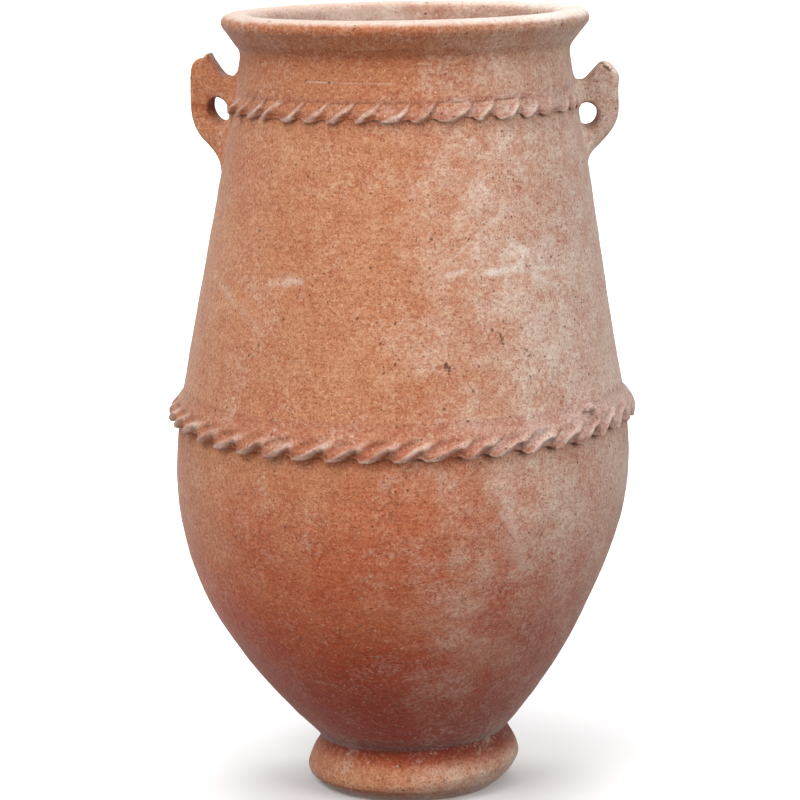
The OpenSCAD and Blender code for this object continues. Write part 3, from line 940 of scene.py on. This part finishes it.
class JAR_OT_bands(bpy.types.Operator):
    """Lay the strips that cover the seams and press the thumb marks into them"""

    bl_idname = "jar.bands"
    bl_label = "Thumb-Marked Bands"

    def execute(self, context):
        shape = context.scene.jar_shape
        clay = clay_material("Band clay", worn=True)
        tree = band_tree()
        lip_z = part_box("lower_rope")[0].z
        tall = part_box("lower_rope")[1].z - lip_z + 7 * MM
        lower = {
            "Sectors": shape.lower_marks * 24, "Start": FRONT, "Sweep": 2 * math.pi, "Ends": 0,
            "Marks": float(shape.lower_marks), "First Tip": FRONT + math.radians(-1.9), "Lip Height": lip_z,
            "Band Height": tall, "Lean": 1.8, "Scoop": shape.scoop, "Notch": shape.notch, "Wander": 0.5,
            "Fade": 0.62, "Plump": 5 * MM, "Crisp": 0.0, "Worn Angle": math.radians(-3),
            "Worn Width": math.radians(9), "Seed": 3.0, "Clay": clay}
        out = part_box("lower_rope")[1].x - wall(lip_z + tall / 3) + 1 * MM
        mesh = grow("lower_band", band_section(lip_z, tall, out), tree, lower)
        keep(mesh, clay, "lower_rope", roughen=0.25 * MM)

        lip_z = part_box("upper_rope_front")[0].z
        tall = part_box("upper_rope_front")[1].z - lip_z + 5 * MM
        out = -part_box("upper_rope_front")[0].y - wall(lip_z + tall / 3)
        gap = math.asin(12 * MM / wall(lip_z))
        upper = {
            **lower, "Sectors": 20 * 24, "Sweep": math.pi - 2 * gap, "Ends": 1, "Marks": shape.upper_marks,
            "Lip Height": lip_z, "Band Height": tall, "Lean": 1.0, "Scoop": shape.scoop * 1.1,
            "Notch": shape.notch * 1.1, "Wander": 1.3, "Fade": 0.9, "Plump": 0.0, "Crisp": 0.35,
            "Worn Width": math.radians(7)}
        halves = (
            ("upper_band_front", "upper_rope_front", -math.pi + gap, FRONT, 3.7, 52),
            ("upper_band_back", "upper_rope_back", gap, -FRONT, 0, 30),
        )
        for name, node, start, middle, tip, worn in halves:
            values = {
                **upper, "Start": start, "First Tip": middle + math.radians(tip),
                "Worn Angle": middle + math.radians(worn), "Seed": 5.0 + start}
            mesh = grow(name, band_section(lip_z, tall, out), tree, values)
            keep(mesh, clay, node, roughen=0.7 * MM)
        return {"FINISHED"}


class JAR_OT_handles(bpy.types.Operator):
    """Press the two horned lugs on to the neck and pierce them"""

    bl_idname = "jar.handles"
    bl_label = "Handles"

    def execute(self, context):
        clay = clay_material("Handle clay", SCARS, HORN_NICKS)
        # Each eye has its [radius, height], then its half width and half height, how far its mouths flare
        # wider, taller and outwards, and its slant. After it come the rounding of the edges and the turn.
        lugs = (
            ("left_handle", "handle_left", -1, LEFT_OUTLINE, (206, 794), (11, 14.5, 3, 3, 1, 0.2),
             5 * MM, math.radians(12), 31),
            ("right_handle", "handle_right", 1, RIGHT_OUTLINE, (206, 781.5), (12, 13.5, 1, 3, 0, 0),
             8 * MM, 0.0, 41),
        )
        for name, node, side, outline, eye, opening, edge, turn, seed in lugs:
            low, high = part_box(node)
            near, far = sorted((side * 0.176, side * 0.25))

            def field(points):
                return handle_field(points, side, outline, eye, opening, edge, turn, seed)

            points, faces = skin(
                field, (near, low.y - 28 * MM, 0.685), (far, high.y + 28 * MM, 0.875), 1.35 * MM)
            keep(mesh_of(name, points, faces), clay, node, sharp=60)
        return {"FINISHED"}


class JAR_OT_crumb(bpy.types.Operator):
    """Leave the stray scrap of clay above the lower band"""

    bl_idname = "jar.crumb"
    bl_label = "Clay Crumb"

    def execute(self, context):
        clay = clay_material("Crumb clay", worn=True)
        points, faces = skin(crumb_field, (0.185, -0.18, 0.452), (0.228, -0.13, 0.482), 0.7 * MM)
        keep(mesh_of("clay_crumb", points, faces), clay)
        return {"FINISHED"}


def studio_sheet(name, path):
    """A plain sheet across the studio, along a path of [north, height] points."""
    mesh = bpy.data.meshes.new(name)
    corners = [(side, y, z) for y, z in path for side in (-STAGE_HALF, STAGE_HALF)]
    faces = [(i, i + 1, i + 3, i + 2) for i in range(0, len(corners) - 2, 2)]
    mesh.from_pydata(corners, [], faces)
    mesh.shade_smooth()
    material = bpy.data.materials.new(name)
    material.use_nodes = True
    surface = material.node_tree.nodes["Principled BSDF"]
    surface.inputs["Base Color"].default_value = (*STAGE_GREY, 1)
    surface.inputs["Roughness"].default_value = 0.9
    mesh.materials.append(material)
    sheet = bpy.data.objects.new(name, mesh)
    sheet.visible_diffuse = False
    bpy.context.scene.collection.objects.link(sheet)


def soft_light(name, place, target, size, power):
    light = bpy.data.lights.new(name, "AREA")
    light.shape = "DISK"
    light.size = size
    light.energy = power
    lamp = bpy.data.objects.new(name, light)
    lamp.location = place
    lamp.rotation_euler = (Vector(target) - Vector(place)).to_track_quat("-Z", "Y").to_euler()
    bpy.context.scene.collection.objects.link(lamp)


class JAR_OT_stage(bpy.types.Operator):
    """Set up the floor, the backdrop, the soft lights and the camera"""

    bl_idname = "jar.stage"
    bl_label = "Studio"

    def execute(self, context):
        scene = context.scene
        studio_sheet("studio_floor", [(-STAGE_HALF, 0), (COVE_START, 0)])
        cove = [(COVE_START + COVE_R * math.sin(a), COVE_R - COVE_R * math.cos(a))
                for a in np.linspace(0, math.pi / 2, 33)]
        studio_sheet("studio_backdrop", [*cove, (COVE_START + COVE_R, BACKDROP_TOP)])
        middle = (0, 0, 0.55 * JAR_H)
        soft_light("key", (-1.7, -2.3, 2.9), middle, 1.5, 52)
        soft_light("fill", (2.7, -2.1, 1.5), middle, 2.4, 66)
        soft_light("low_left", (-2.6, -3.0, 0.7), (0, 0, 0.3), 1.6, 52)
        soft_light("sky", (-0.2, -0.5, 3.2), middle, 2.2, 38)
        soft_light("backdrop_wash", (0, 2.6, 3.6), (0, 4.6, 0.6), 2.8, 190)

        # The sky brightens from below the horizon upwards
        world = bpy.data.worlds.new("Studio")
        world.use_nodes = True
        board = Board(world.node_tree)
        outlook = board.add("ShaderNodeTexCoord", None, None, "Generated")
        up = board.add("ShaderNodeSeparateXYZ", None, {0: outlook}).also("Z")
        brightness = 0.1 + 0.45 * board.step(-0.15, 0.5, up)
        sky = world.node_tree.nodes["Background"]
        world.node_tree.links.new(brightness.socket, sky.inputs["Strength"])
        sky.inputs["Color"].default_value = (1, 1, 1, 1)
        scene.world = world
        scene.view_settings.view_transform = "Standard"
        lens = bpy.data.cameras.new("viewer")
        lens.lens = LENS
        camera = bpy.data.objects.new("viewer", lens)
        camera.location = CAMERA_PLACE
        camera.rotation_mode = "QUATERNION"
        ahead = Vector((0, math.cos(CAMERA_DIP), -math.sin(CAMERA_DIP)))
        roll = Quaternion((0, 0, 1), CAMERA_ROLL)
        camera.rotation_quaternion = ahead.to_track_quat("-Z", "Y") @ roll
        scene.collection.objects.link(camera)
        scene.camera = camera
        return {"FINISHED"}


class JAR_PT_panel(bpy.types.Panel):
    """The jar's sizes, colours and building steps"""

    bl_label = "Clay Jar"
    bl_idname = "JAR_PT_panel"
    bl_space_type = "VIEW_3D"
    bl_region_type = "UI"
    bl_category = "Clay Jar"

    def draw(self, context):
        for settings in (context.scene.jar_shape, context.scene.jar_clay):
            for name in settings.__annotations__:
                self.layout.prop(settings, name)
        for operator in OPERATORS:
            self.layout.operator(operator.bl_idname)


OPERATORS = (JAR_OT_foot, JAR_OT_walls, JAR_OT_rim, JAR_OT_bands, JAR_OT_handles, JAR_OT_crumb, JAR_OT_stage)


def register():
    for cls in (JarShape, JarClay, *OPERATORS, JAR_PT_panel):
        bpy.utils.register_class(cls)
    bpy.types.Scene.jar_shape = bpy.props.PointerProperty(type=JarShape)
    bpy.types.Scene.jar_clay = bpy.props.PointerProperty(type=JarClay)


def unregister():
    del bpy.types.Scene.jar_clay
    del bpy.types.Scene.jar_shape
    for cls in reversed((JarShape, JarClay, *OPERATORS, JAR_PT_panel)):
        bpy.utils.unregister_class(cls)


def main():
    register()
    for operator in OPERATORS:
        group, name = operator.bl_idname.split(".")
        getattr(getattr(bpy.ops, group), name)()


if __name__ == "__main__":
    main()
